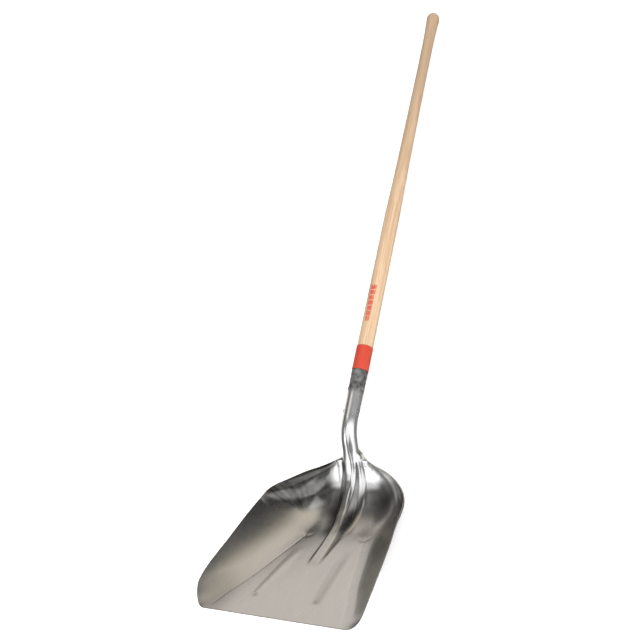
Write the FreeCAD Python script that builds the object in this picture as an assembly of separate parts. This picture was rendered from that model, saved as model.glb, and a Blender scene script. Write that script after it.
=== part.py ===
"""Western-pattern scoop shovel: a pressed aluminium scoop on a long ash handle.

The tool lies open side up, as it rests on a floor: on the heel of the scoop and the
knob of the handle. +Y runs along the tool towards the knob, X = 0 is its plane of
symmetry, and the origin is the middle of its footprint. Millimetres and degrees.

Everything is built first in the blade's own frame, with x across the scoop, y from the
front edge towards the handle and z up from the flat floor. The blade is one sheet. Its
sections stand square to a centre line that runs up the middle of the sheet, and a
station is a length along that line from the front edge. In a section, x is across and
n is the height off the centre line.
"""
import FreeCAD, Part
import math
import os

Vector = FreeCAD.Vector

# Centre line of the blade, from the front edge to the mouth of the socket
FLOOR_LENGTH = 267.0
HEEL_RADIUS = 125.5
BACK_ANGLE = math.radians(73.6)
BACK_LENGTH = 50.5
NECK_RADIUS = 95.5
LIFT_ANGLE = math.radians(38.5)
SOCKET_LENGTH = 110.0

# Stations where the centre line changes
HEEL_END = FLOOR_LENGTH + HEEL_RADIUS * BACK_ANGLE
NECK_START = HEEL_END + BACK_LENGTH
NECK_END = NECK_START + NECK_RADIUS * (BACK_ANGLE - LIFT_ANGLE)
MOUTH = NECK_END + SOCKET_LENGTH
BACK_EDGE = HEEL_END + 18.0

# Scoop
SHEET = 1.8
WIDEST_HALF = 206.5
CORNER_WIDTH = 37.5
CORNER_DEPTH = 48.5
FRONT_HALF = WIDEST_HALF - CORNER_WIDTH

# Rim of the side wall and back wall: station, x, n
RIM = [
    (0.0, WIDEST_HALF - 0.5, 0.0),
    (CORNER_DEPTH, WIDEST_HALF, 31.0),
    (158.0, 197.5, 55.5),
    (247.0, 185.5, 75.0),
    (285.0, 180.7, 80.0),
    (315.0, 177.8, 80.5),
    (345.0, 172.5, 77.5),
    (375.0, 161.5, 68.5),
    (400.0, 140.5, 50.5),
    (420.0, 109.0, 30.0),
    (435.0, 60.5, 11.0),
    (BACK_EDGE, 32.0, 0.5),
]

# Crease between the floor and the wall: station, x, angle in degrees, width of the bend
CREASE = [
    (0.0, FRONT_HALF - 4.0, 0.0, 6.0),
    (48.0, 150.0, 15.0, 6.0),
    (100.0, 127.0, 14.0, 6.0),
    (180.0, 101.0, 12.0, 7.0),
    (FLOOR_LENGTH - 8.0, 79.0, 9.0, 8.0),
    (330.0, 72.0, 9.0, 24.0),
    (400.0, 58.0, 8.0, 24.0),
    (BACK_EDGE, 28.5, 2.0, 6.0),
]

# Frog, the ridge that runs out of the socket into the floor: station, half-width of its
# flat top, lengths of the bends at its shoulder and at its foot, half-width at its foot, height
FROG_TIP = 150.0
NECK_HEIGHT = 16.2
FROG = [
    (0.0, 3.0, 3.0, 5.0, 15.0, 0.0),
    (FROG_TIP, 3.0, 3.0, 5.0, 15.0, 0.0),
    (172.0, 7.0, 4.0, 6.0, 17.0, 2.2),
    (212.0, 7.0, 5.0, 6.0, 18.5, 5.8),
    (245.0, 6.5, 5.0, 8.0, 21.0, 10.5),
    (275.0, 5.5, 6.0, 11.0, 25.5, 17.0),
    (305.0, 4.5, 7.0, 15.0, 30.5, 24.0),
    (350.0, 3.5, 9.0, 20.0, 35.0, 25.5),
    (400.0, 4.5, 11.0, 19.0, 33.0, 20.5),
    (436.0, 5.0, 12.0, 15.0, 28.5, 16.8),
    (BACK_EDGE, 5.0, 12.0, 12.0, 25.0, NECK_HEIGHT),
]

# Stiffening ribs pressed up into the floor: station, x of the middle, half-width, height
RIB = [
    (50.0, 74.0, 10.0, 0.0),
    (61.0, 73.5, 12.0, 1.9),
    (110.0, 69.0, 15.0, 1.7),
    (155.0, 65.0, 17.0, 1.3),
    (210.0, 61.0, 17.0, 0.0),
]

# Socket: outer radii, the open seam underneath, how much wider it gapes before the throat
# narrows, and the stations where the sheet rolls round into a tube
SOCKET_MOUTH_RADIUS = 18.5
NECK_TUBE_RADIUS = 17.1
SEAM_GAP = 4.0
THROAT_GAP = 22.0
THROAT = 478.0
ROLL_START = 438.0
ROLL_END = 467.0

# Steps of the surface: points on each piece of half a section, and station spacing
SECTION_STEPS = (3, 4, 3, 4, 26, 3, 10)
SPACING = [
    (0.0, 7.0),
    (200.0, 7.0),
    (400.0, 5.0),
    (436.0, 2.0),
    (470.0, 2.0),
    (500.0, 3.2),
    (560.0, 8.0),
    (MOUTH, 9.0),
]

# Handle: distance from the knob's end and radius, from the knob to the plain shank
EXPOSED_LENGTH = 1064.5
GRIP_RADIUS = 18.25
KNOB_RADIUS = 17.4
TAPER = [
    (62.0, 15.2),
    (115.0, 14.2),
    (210.0, 14.0),
    (330.0, 14.7),
    (480.0, 15.6),
    (565.0, 16.6),
]
TAPER_LENGTH = 645.0
SHOULDER = 2.0
CHUCK_CLEARANCE = 0.1
CHUCK_NOSE = 28.0
CHUCK_NOSE_RADIUS = 9.5
CHUCK_ROUND = 3.0

# Colour band around the foot of the handle, on a seat that narrows towards the mouth
BAND_LENGTH = 59.0
BAND_THICKNESS = 0.8
BAND_EDGE = 0.3
BAND_SEAT = 0.2

# Rivets through the socket and the handle's chuck
RIVET_DEPTHS = {"upper_rivet": 43.0, "lower_rivet": 96.0}
RIVET_RADIUS = 3.2
RIVET_HEAD_RADIUS = 5.8
RIVET_HEAD_HEIGHT = 3.0
RIVET_PEEN_RADIUS = 4.6
RIVET_PEEN_HEIGHT = 2.0
WASHER_RADIUS = 6.4
WASHER_THICKNESS = 1.2
RIVET_HOLE_RADIUS = RIVET_RADIUS + 0.05


def ramp(value, low, high):
    """0 below low, 1 above high, and a smooth step between them."""
    t = min(1.0, max(0.0, (value - low) / (high - low)))
    return t * t * (3.0 - 2.0 * t)


def end_slope(step, next_step, rise, next_rise):
    """Slope at the end of a smooth curve."""
    slope = ((2.0 * step + next_step) * rise - step * next_rise) / (step + next_step)
    if slope * rise <= 0.0:
        return 0.0
    if rise * next_rise < 0.0 and abs(slope) > 3.0 * abs(rise):
        return 3.0 * rise
    return slope


def curve_slopes(x, y):
    """Slopes of the cubic through the points that never overshoots them."""
    steps = [b - a for a, b in zip(x, x[1:])]
    rises = [(b - a) / step for a, b, step in zip(y, y[1:], steps)]
    slopes = [end_slope(steps[0], steps[1], rises[0], rises[1])]
    for i in range(1, len(steps)):
        if rises[i - 1] * rises[i] <= 0.0:
            slopes.append(0.0)
            continue
        before = 2.0 * steps[i] + steps[i - 1]
        after = steps[i] + 2.0 * steps[i - 1]
        slopes.append((before + after) / (before / rises[i - 1] + after / rises[i]))
    slopes.append(end_slope(steps[-1], steps[-2], rises[-1], rises[-2]))
    return slopes


def along(table, station):
    """Every column of a table at a station, on smooth curves through its rows."""
    x = [row[0] for row in table]
    station = min(max(station, x[0]), x[-1])
    i = max(k for k in range(len(x) - 1) if x[k] <= station)
    step = x[i + 1] - x[i]
    t = (station - x[i]) / step
    values = []
    for column in list(zip(*table))[1:]:
        slopes = curve_slopes(x, column)
        start = column[i] * (1.0 + 2.0 * t) + slopes[i] * step * t
        end = column[i + 1] * (3.0 - 2.0 * t) - slopes[i + 1] * step * (1.0 - t)
        values.append(start * (1.0 - t) ** 2 + end * t * t)
    return values


def centre_line(station):
    """y, z and slope of the centre line: flat, heel arc, back wall, neck arc, socket."""
    y = min(station, FLOOR_LENGTH)
    z = 0.0
    slope = 0.0
    if station > FLOOR_LENGTH:
        slope = min(station, HEEL_END) - FLOOR_LENGTH
        slope = slope / HEEL_RADIUS
        y = y + HEEL_RADIUS * math.sin(slope)
        z = z + HEEL_RADIUS * (1.0 - math.cos(slope))
    if station > HEEL_END:
        run = min(station, NECK_START) - HEEL_END
        y = y + run * math.cos(slope)
        z = z + run * math.sin(slope)
    if station > NECK_START:
        slope = BACK_ANGLE - (min(station, NECK_END) - NECK_START) / NECK_RADIUS
        y = y + NECK_RADIUS * (math.sin(BACK_ANGLE) - math.sin(slope))
        z = z + NECK_RADIUS * (math.cos(slope) - math.cos(BACK_ANGLE))
    if station > NECK_END:
        y = y + (station - NECK_END) * math.cos(slope)
        z = z + (station - NECK_END) * math.sin(slope)
    return y, z, slope


def place(station, x, n):
    """The point in the blade's frame of a point in a section."""
    y, z, slope = centre_line(station)
    return Vector(x, y - n * math.sin(slope), z + n * math.cos(slope))


def tube_radius(station):
    """Radius of the socket, to the middle of the sheet."""
    share = min(1.0, max(0.0, (station - NECK_END) / SOCKET_LENGTH))
    outer = NECK_TUBE_RADIUS + (SOCKET_MOUTH_RADIUS - NECK_TUBE_RADIUS) * share
    return outer - SHEET / 2.0


def flank(width, height, bends):
    """Angle and straight length of a flank between two bends that are this long together."""
    if height < 1e-6:
        return 0.0, width - bends
    low = 1e-4
    high = 1.55
    for _ in range(50):
        angle = (low + high) / 2.0
        straight = (width - bends * math.sin(angle) / angle) / math.cos(angle)
        rise = bends * (1.0 - math.cos(angle)) / angle + straight * math.sin(angle)
        if rise < height:
            low = angle
        else:
            high = angle
    return angle, straight


def wall(crease, angle, width, rim, height):
    """Length and curvature of the arc from the end of the crease to the rim."""
    x = crease + width * (math.cos(angle / 2.0) - 0.5)
    n = width * math.sin(angle / 2.0)
    chord = math.hypot(rim - x, height - n)
    half_turn = math.atan2(height - n, rim - x) - angle
    length = chord
    if abs(half_turn) > 1e-6:
        length = chord * half_turn / math.sin(half_turn)
    return length, 2.0 * half_turn / length


def section_pieces(station):
    """Half a section as (length, curvature) pieces from its middle, and its height there."""
    top, shoulder, fillet, foot, height = along(FROG, station)
    angle, straight = flank(foot - top, height, shoulder + fillet)
    crease, crease_angle, width = along(CREASE, station)
    crease_angle = math.radians(crease_angle)
    width = min(width, crease - foot)
    rim, rim_height = along(RIM, station)
    wall_length, wall_curvature = wall(crease, crease_angle, width, rim, rim_height)
    pieces = [
        (top, 0.0),
        (shoulder, -angle / shoulder),
        (straight, 0.0),
        (fillet, angle / fillet),
        (crease - width / 2.0 - foot, 0.0),
        (width, crease_angle / width),
        (wall_length, wall_curvature),
    ]
    rolled = ramp(station, ROLL_START, ROLL_END)
    radius = tube_radius(station)
    open_length = sum(length for length, _ in pieces)
    gap = SEAM_GAP + THROAT_GAP * (1.0 - ramp(station, THROAT, NECK_END))
    half_tube = math.pi * radius - gap / 2.0
    scale = 1.0 + rolled * (half_tube / open_length - 1.0)
    pieces = [(length * scale, bent * (1.0 - rolled) - rolled / radius) for length, bent in pieces]
    return pieces, height + rolled * (radius - height)


def rib(x, station):
    """Height of the floor's ribs."""
    middle, half_width, height = along(RIB, station)
    across = min(1.0, abs(x - middle) / half_width)
    return height * (1.0 - across * across) ** 2


def half_section(station, offset):
    """Points (x, n) from the middle to the rim, offset towards the open side."""
    pieces, n = section_pieces(station)
    x = 0.0
    turn = 0.0
    line = [(x, n, turn)]
    for (length, curvature), steps in zip(pieces, SECTION_STEPS):
        for i in range(1, steps + 1):
            run = length * i / steps
            end = turn + curvature * run
            if abs(curvature) < 1e-9:
                point = (x + run * math.cos(turn), n + run * math.sin(turn), end)
            else:
                across = (math.sin(end) - math.sin(turn)) / curvature
                up = (math.cos(turn) - math.cos(end)) / curvature
                point = (x + across, n + up, end)
            line.append(point)
        x, n, turn = line[-1]
    shifted = []
    for x, n, turn in line:
        shifted.append((x - offset * math.sin(turn), n + offset * math.cos(turn) + rib(x, station)))
    return shifted


def station_list():
    """Stations from the front edge to the mouth, closer where the shape turns faster."""
    stations = [0.0]
    while stations[-1] < MOUTH:
        stations.append(stations[-1] + along(SPACING, stations[-1])[0])
    return [station * MOUTH / stations[-1] for station in stations]


def section_grid(offset):
    """Rows of points over one face of the sheet, one row for each section."""
    grid = []
    for station in station_list():
        half = half_section(station, offset)
        row = [place(station, -x, n) for x, n in half[:0:-1]]
        row = row + [place(station, x, n) for x, n in half]
        grid.append(row)
    return grid


def spline_knots(count, degree):
    """Evenly spaced knots, and how often each repeats, for a curve that reaches its ends."""
    inner = count - degree - 1
    return [float(i) for i in range(inner + 2)], [degree + 1] + [1] * inner + [degree + 1]


def spline_face(grid):
    """Smooth face shaped by a net of points, ruled where the net has only two rows."""
    degree = min(3, len(grid) - 1)
    knots, repeats = spline_knots(len(grid), degree)
    row_knots, row_repeats = spline_knots(len(grid[0]), 3)
    surface = Part.BSplineSurface()
    surface.buildFromPolesMultsKnots(
        grid, repeats, row_repeats, knots, row_knots, False, False, degree, 3)
    return surface.toShape()


def front_corner(side):
    """What the front corner's rounding takes off the sheet."""
    width = 2.0 * CORNER_WIDTH
    depth = 2.0 * CORNER_DEPTH
    block = Part.makeBox(width, depth, 2.0 * depth)
    block.translate(Vector(FRONT_HALF, CORNER_DEPTH - depth, -depth))
    major = max(CORNER_WIDTH, CORNER_DEPTH)
    minor = min(CORNER_WIDTH, CORNER_DEPTH)
    tip = Vector(FRONT_HALF, CORNER_DEPTH + major, 0.0)
    across = Vector(FRONT_HALF + minor, CORNER_DEPTH, 0.0)
    oval = Part.Ellipse(tip, across, Vector(FRONT_HALF, CORNER_DEPTH, 0.0)).toShape()
    oval.translate(Vector(0.0, 0.0, -depth))
    core = Part.Face(Part.Wire([oval])).extrude(Vector(0.0, 0.0, 2.0 * depth))
    corner = block.cut(core)
    if side < 0:
        corner = corner.mirror(Vector(0.0, 0.0, 0.0), Vector(1.0, 0.0, 0.0))
    return corner


def make_blade():
    """The pressed sheet, closed at its edges, with rounded corners and rivet holes."""
    upper = section_grid(SHEET / 2.0)
    lower = section_grid(-SHEET / 2.0)
    faces = [spline_face(upper), spline_face(lower)]
    for end in (0, -1):
        faces.append(spline_face([upper[end], lower[end]]))
        faces.append(spline_face([[row[end] for row in upper], [row[end] for row in lower]]))
    shell = Part.Shell(faces)
    shell.sewShape()
    blade = Part.Solid(shell)
    if blade.Volume < 0.0:
        blade.reverse()
    for side in (1, -1):
        blade = blade.cut(front_corner(side))
    for depth in RIVET_DEPTHS.values():
        blade = blade.cut(rivet_hole(depth))
    return blade


def on_socket_axis(shape):
    """Move a shape whose axis is Z, measured up from the mouth, on to the socket's axis."""
    y, z, slope = centre_line(MOUTH)
    shape.rotate(Vector(0.0, 0.0, 0.0), Vector(1.0, 0.0, 0.0), math.degrees(slope) - 90.0)
    shape.translate(Vector(0.0, y, z))
    return shape


def chuck_outline():
    """Points (radius, height) of the handle from the nose of its chuck to the band's top."""
    inner = SHEET + CHUCK_CLEARANCE
    return [
        Vector(NECK_TUBE_RADIUS - inner, 0.0, -SOCKET_LENGTH),
        Vector(SOCKET_MOUTH_RADIUS - inner, 0.0, 0.0),
        Vector(GRIP_RADIUS - BAND_SEAT, 0.0, SHOULDER),
        Vector(GRIP_RADIUS, 0.0, BAND_LENGTH),
    ]


def make_handle():
    """Knob, tapered grip, plain shank and the chuck that fills the socket."""
    end = EXPOSED_LENGTH
    knob_centre = end - KNOB_RADIUS
    nose = -SOCKET_LENGTH - CHUCK_NOSE
    chuck = chuck_outline()
    shank_top = Vector(GRIP_RADIUS, 0.0, end - TAPER_LENGTH)
    knob_side = Vector(KNOB_RADIUS, 0.0, knob_centre)
    taper = Part.BSplineCurve()
    points = [shank_top] + [Vector(r, 0.0, end - d) for d, r in reversed(TAPER)] + [knob_side]
    upward = Vector(0.0, 0.0, 1.0)
    taper.interpolate(Points=points, InitialTangent=upward, FinalTangent=upward)
    slant = KNOB_RADIUS * math.sqrt(0.5)
    knob_mid = Vector(slant, 0.0, knob_centre + slant)
    tip = Vector(0.0, 0.0, end)
    nose_side = Vector(CHUCK_NOSE_RADIUS, 0.0, nose + CHUCK_ROUND)
    nose_flat = Vector(CHUCK_NOSE_RADIUS - CHUCK_ROUND, 0.0, nose)
    outline = [
        Part.makeLine(Vector(0.0, 0.0, nose), nose_flat),
        Part.makeLine(nose_flat, nose_side),
        Part.makeLine(nose_side, chuck[0]),
        Part.makeLine(chuck[0], chuck[1]),
        Part.makeLine(chuck[1], chuck[2]),
        Part.makeLine(chuck[2], chuck[3]),
        Part.makeLine(chuck[3], shank_top),
        taper.toShape(),
        Part.Arc(knob_side, knob_mid, tip).toShape(),
        Part.makeLine(tip, Vector(0.0, 0.0, nose)),
    ]
    profile = Part.Face(Part.Wire(outline))
    handle = profile.revolve(Vector(0.0, 0.0, 0.0), Vector(0.0, 0.0, 1.0), 360.0)
    handle = on_socket_axis(handle)
    for depth in RIVET_DEPTHS.values():
        handle = handle.cut(rivet_hole(depth))
    return handle


def make_colour_band():
    """Thin sleeve around the handle, just above the socket's mouth."""
    outer = Part.makeCylinder(GRIP_RADIUS + BAND_THICKNESS, BAND_LENGTH)
    outer = outer.makeChamfer(BAND_EDGE, [edge for edge in outer.Edges if edge.Closed][:2])
    mouth, foot, top = chuck_outline()[1:]
    seat = Part.makeCone(foot.x, top.x, BAND_LENGTH - SHOULDER, Vector(0.0, 0.0, SHOULDER))
    shoulder = Part.makeCone(mouth.x, foot.x, SHOULDER)
    return on_socket_axis(outer.cut(seat.fuse(shoulder)))


def socket_core():
    """The space inside the socket's outer face, where it is a cone."""
    start = Vector(0.0, 0.0, -SOCKET_LENGTH)
    return on_socket_axis(Part.makeCone(NECK_TUBE_RADIUS, SOCKET_MOUTH_RADIUS, SOCKET_LENGTH, start))


def socket_radius(depth):
    """Outer radius of the socket at a depth below its mouth."""
    return SOCKET_MOUTH_RADIUS - (SOCKET_MOUTH_RADIUS - NECK_TUBE_RADIUS) * depth / SOCKET_LENGTH


def crosswise(shape, depth):
    """Lay a shape whose axis is Z across the socket, at a depth below its mouth."""
    shape.rotate(Vector(0.0, 0.0, 0.0), Vector(0.0, 1.0, 0.0), 90.0)
    shape.translate(Vector(0.0, 0.0, -depth))
    return on_socket_axis(shape)


def rivet_hole(depth):
    """The hole for a rivet, right through the socket."""
    reach = 2.0 * SOCKET_MOUTH_RADIUS
    return crosswise(Part.makeCylinder(RIVET_HOLE_RADIUS, 2.0 * reach, Vector(0.0, 0.0, -reach)), depth)


def dome(radius, height, base):
    """A shallow dome on a disc that starts at a height of base and sinks below it."""
    ball = (radius * radius + height * height) / (2.0 * height)
    cap = Part.makeSphere(ball, Vector(0.0, 0.0, base + height - ball))
    disc = Part.makeCylinder(radius, height, Vector(0.0, 0.0, base))
    skirt = Part.makeCylinder(radius, WASHER_THICKNESS, Vector(0.0, 0.0, base - WASHER_THICKNESS))
    return cap.common(disc).fuse(skirt)


def make_rivet(depth):
    """A domed head on one side, and on the other an end peened over its washer."""
    radius = socket_radius(depth)
    head = crosswise(dome(RIVET_HEAD_RADIUS, RIVET_HEAD_HEIGHT, radius), depth)
    head = head.cut(socket_core())
    peen = dome(RIVET_PEEN_RADIUS, RIVET_PEEN_HEIGHT, radius + WASHER_THICKNESS)
    peen.rotate(Vector(0.0, 0.0, 0.0), Vector(1.0, 0.0, 0.0), 180.0)
    washer_space = Part.makeCylinder(WASHER_RADIUS, radius + WASHER_THICKNESS)
    washer_space.rotate(Vector(0.0, 0.0, 0.0), Vector(1.0, 0.0, 0.0), 180.0)
    peen = crosswise(peen.cut(washer_space), depth)
    start = Vector(0.0, 0.0, -radius - WASHER_THICKNESS)
    shank = Part.makeCylinder(RIVET_RADIUS, 2.0 * radius + WASHER_THICKNESS, start)
    return head.fuse([peen, crosswise(shank, depth)]).removeSplitter()


def make_washer(depth):
    """Burr washer, dished to the socket's curve."""
    radius = socket_radius(depth)
    outer = radius + WASHER_THICKNESS
    plate = Part.makeCylinder(WASHER_RADIUS, 2.0 * WASHER_THICKNESS, Vector(0.0, 0.0, -outer))
    plate = crosswise(plate, depth).cut(rivet_hole(depth))
    return plate.cut(socket_core())


def rest_placement():
    """From the blade's frame to the tool's: down on its heel and knob, about its middle."""
    mouth_y, mouth_z, slope = centre_line(MOUTH)
    reach = EXPOSED_LENGTH - KNOB_RADIUS
    knob_y = mouth_y + reach * math.cos(slope)
    knob_z = mouth_z + reach * math.sin(slope)
    heel = HEEL_RADIUS + SHEET / 2.0
    across = knob_y - FLOOR_LENGTH
    up = knob_z - HEEL_RADIUS
    tilt = math.atan2(up, across) + math.asin((heel - KNOB_RADIUS) / math.hypot(across, up))
    rotation = FreeCAD.Rotation(Vector(1.0, 0.0, 0.0), -math.degrees(tilt))
    heel_centre = rotation.multVec(Vector(0.0, FLOOR_LENGTH, HEEL_RADIUS))
    front_y = -SHEET / 2.0 * math.sin(tilt)
    end_y = rotation.multVec(Vector(0.0, knob_y, knob_z)).y + KNOB_RADIUS
    move = Vector(0.0, -(front_y + end_y) / 2.0, heel - heel_centre.z)
    return FreeCAD.Placement(move, rotation)


def main():
    nodes = {
        "blade": make_blade(),
        "handle": make_handle(),
        "colour_band": make_colour_band(),
        "rivet_washers": Part.makeCompound([make_washer(depth) for depth in RIVET_DEPTHS.values()]),
    }
    for name, depth in RIVET_DEPTHS.items():
        nodes[name] = make_rivet(depth)
    os.makedirs("parts", exist_ok=True)
    rest = rest_placement().toMatrix()
    for name, shape in nodes.items():
        placed = shape.copy()
        placed.transformShape(rest)
        placed.exportStep("parts/" + name + ".step")
        box = placed.BoundBox
        print(name, placed.isValid(), len(placed.Solids), round(placed.Volume / 1000.0, 2), "cm3", box)


if __name__ == "__main__":
    main()
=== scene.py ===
import math

import bpy
import numpy as np
from mathutils import Matrix, Vector


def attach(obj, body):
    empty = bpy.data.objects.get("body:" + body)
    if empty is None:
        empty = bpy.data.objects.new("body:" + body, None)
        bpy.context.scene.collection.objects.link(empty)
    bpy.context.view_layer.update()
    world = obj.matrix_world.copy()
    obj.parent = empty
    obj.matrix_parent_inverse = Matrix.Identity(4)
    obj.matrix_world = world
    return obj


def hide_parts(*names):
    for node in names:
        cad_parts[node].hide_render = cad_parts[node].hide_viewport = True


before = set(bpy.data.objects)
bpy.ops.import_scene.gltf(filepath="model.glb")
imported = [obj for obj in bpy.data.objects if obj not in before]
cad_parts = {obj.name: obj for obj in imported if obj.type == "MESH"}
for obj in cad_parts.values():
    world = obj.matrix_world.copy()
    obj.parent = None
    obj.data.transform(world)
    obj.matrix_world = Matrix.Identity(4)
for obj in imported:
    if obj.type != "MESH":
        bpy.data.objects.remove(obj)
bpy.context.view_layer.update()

# A western-pattern scoop shovel: a pressed aluminium scoop on a long ash handle.
#
# It is worked out in millimetres in the blade's own frame, with x across the scoop, y from the
# front edge towards the handle and z up from the flat floor, and then laid down at rest. The
# blade is one sheet. Its sections stand square to a centre line that runs up the middle of the
# sheet. A station s is a length along that line from the front edge, a is a length round the
# section from its middle, negative on the left, and n is the height off the centre line.
MM = 0.001

# ---------------------------------------------------------------- sizes of the shovel, in mm
# Centre line of the blade, from the front edge to the mouth of the socket
FLOOR_LENGTH = 267.0
HEEL_RADIUS = 125.5
BACK_ANGLE = math.radians(73.6)
BACK_LENGTH = 50.5
NECK_RADIUS = 95.5
LIFT_ANGLE = math.radians(38.5)
SOCKET_LENGTH = 110.0

# Stations where the centre line changes
HEEL_END = FLOOR_LENGTH + HEEL_RADIUS * BACK_ANGLE
NECK_START = HEEL_END + BACK_LENGTH
NECK_END = NECK_START + NECK_RADIUS * (BACK_ANGLE - LIFT_ANGLE)
MOUTH = NECK_END + SOCKET_LENGTH
BACK_EDGE = HEEL_END + 18.0

# Scoop
SHEET = 1.8
WIDEST_HALF = 206.5
CORNER_WIDTH = 37.5
CORNER_DEPTH = 48.5
FRONT_HALF = WIDEST_HALF - CORNER_WIDTH

# Rim of the side wall and back wall: station, x, n
RIM = [
    (0.0, WIDEST_HALF - 0.5, 0.0),
    (CORNER_DEPTH, WIDEST_HALF, 31.0),
    (158.0, 197.5, 55.5),
    (247.0, 185.5, 75.0),
    (285.0, 180.7, 80.0),
    (315.0, 177.8, 80.5),
    (345.0, 172.5, 77.5),
    (375.0, 161.5, 68.5),
    (400.0, 140.5, 50.5),
    (420.0, 109.0, 30.0),
    (435.0, 60.5, 11.0),
    (BACK_EDGE, 32.0, 0.5),
]

# Crease between the floor and the wall: station, x, angle in degrees, width of the bend
CREASE = [
    (0.0, FRONT_HALF - 4.0, 0.0, 6.0),
    (48.0, 150.0, 15.0, 6.0),
    (100.0, 127.0, 14.0, 6.0),
    (180.0, 101.0, 12.0, 7.0),
    (FLOOR_LENGTH - 8.0, 79.0, 9.0, 8.0),
    (330.0, 72.0, 9.0, 24.0),
    (400.0, 58.0, 8.0, 24.0),
    (BACK_EDGE, 28.5, 2.0, 6.0),
]

# Frog, the ridge that runs out of the socket into the floor: station, half-width of its
# flat top, lengths of the bends at its shoulder and at its foot, half-width at its foot, height
FROG_TIP = 150.0
NECK_HEIGHT = 16.2
FROG = [
    (0.0, 3.0, 3.0, 5.0, 15.0, 0.0),
    (FROG_TIP, 3.0, 3.0, 5.0, 15.0, 0.0),
    (172.0, 7.0, 4.0, 6.0, 17.0, 2.2),
    (212.0, 7.0, 5.0, 6.0, 18.5, 5.8),
    (245.0, 6.5, 5.0, 8.0, 21.0, 10.5),
    (275.0, 5.5, 6.0, 11.0, 25.5, 17.0),
    (305.0, 4.5, 7.0, 15.0, 30.5, 24.0),
    (350.0, 3.5, 9.0, 20.0, 35.0, 25.5),
    (400.0, 4.5, 11.0, 19.0, 33.0, 20.5),
    (436.0, 5.0, 12.0, 15.0, 28.5, 16.8),
    (BACK_EDGE, 5.0, 12.0, 12.0, 25.0, NECK_HEIGHT),
]

# Stiffening ribs pressed up into the floor: station, x of the middle, half-width, height
RIB = [
    (50.0, 74.0, 10.0, 0.0),
    (61.0, 73.5, 12.0, 1.9),
    (110.0, 69.0, 15.0, 1.7),
    (155.0, 65.0, 17.0, 1.3),
    (210.0, 61.0, 17.0, 0.0),
]

# Dents where the creases run out in the heel, and where the pleats and streaks of a shoulder
# fan out from: station, a
HEEL_DENT = (249.0, 73.0)
SHOULDER_FAN = (285.0, 105.0)

# Socket: outer radii, the open seam underneath, how much wider it gapes before the throat
# narrows, and the stations where the sheet rolls round into a tube
SOCKET_MOUTH_RADIUS = 18.5
NECK_TUBE_RADIUS = 17.1
SEAM_GAP = 4.0
THROAT_GAP = 22.0
THROAT = 478.0
ROLL_START = 438.0
ROLL_END = 467.0

# Handle: distance from the knob's end and radius, from the knob to the plain shank
EXPOSED_LENGTH = 1064.5
GRIP_RADIUS = 18.25
KNOB_RADIUS = 17.4
TAPER_LENGTH = 645.0
TAPER = [
    (KNOB_RADIUS, KNOB_RADIUS),
    (62.0, 15.2),
    (115.0, 14.2),
    (210.0, 14.0),
    (330.0, 14.7),
    (480.0, 15.6),
    (565.0, 16.6),
    (TAPER_LENGTH, GRIP_RADIUS),
]
SHOULDER = 2.0
CHUCK_CLEARANCE = 0.12
CHUCK_NOSE = 28.0

# Colour band
BAND_LENGTH = 59.0
BAND_THICKNESS = 0.8
BAND_SEAT = 0.2
BAND_HOLLOW = 0.35

# Steps of the surfaces: points along each piece of half a section, rows of points round an
# edge of the sheet and how far it is rounded out, and points round the handle
SECTION_STEPS = (4, 5, 6, 5, 34, 8, 56)
EDGE_ROWS = 5
EDGE_SOFT = 0.4
ROUND_STEPS = 96


# ---------------------------------------------------------------- curves
def cubic(table, where):
    """Every column of a table at the places given, on smooth curves that never overshoot."""
    rows = np.array(table, float)
    x = rows[:, 0]
    where = np.clip(where, x[0], x[-1])
    i = np.clip(np.searchsorted(x, where, side="right") - 1, 0, len(x) - 2)
    step = np.diff(x)
    t = (where - x[i]) / step[i]
    found = []
    for y in rows[:, 1:].T:
        rise = np.diff(y) / step
        slope = np.zeros(len(x))
        for k in range(1, len(x) - 1):
            if rise[k - 1] * rise[k] > 0.0:
                before = 2.0 * step[k] + step[k - 1]
                after = step[k] + 2.0 * step[k - 1]
                slope[k] = (before + after) / (before / rise[k - 1] + after / rise[k])
        for end, near, far in ((0, 0, 1), (-1, -1, -2)):
            value = (2.0 * step[near] + step[far]) * rise[near] - step[near] * rise[far]
            value = value / (step[near] + step[far])
            if value * rise[near] <= 0.0:
                value = 0.0
            elif rise[near] * rise[far] < 0.0 and abs(value) > 3.0 * abs(rise[near]):
                value = 3.0 * rise[near]
            slope[end] = value
        start = y[i] * (1.0 + 2.0 * t) + slope[i] * step[i] * t
        end = y[i + 1] * (3.0 - 2.0 * t) - slope[i + 1] * step[i] * (1.0 - t)
        found.append(start * (1.0 - t) ** 2 + end * t * t)
    return found


def ramp(value, low, high):
    """0 below low, 1 above high, and a smooth step between them."""
    t = np.clip((value - low) / (high - low), 0.0, 1.0)
    return t * t * (3.0 - 2.0 * t)


def bump(value, centre, width):
    """A smooth hill of height 1 that is 0 beyond a width on each side."""
    t = np.clip(np.abs(value - centre) / width, 0.0, 1.0)
    return (1.0 - t * t) ** 2


def chord(run, turn, bend):
    """Where an arc ends that starts in the direction turn and curves by bend."""
    half = bend * run / 2.0
    length = run * np.sinc(half / math.pi)
    return length * np.cos(turn + half), length * np.sin(turn + half)


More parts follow.
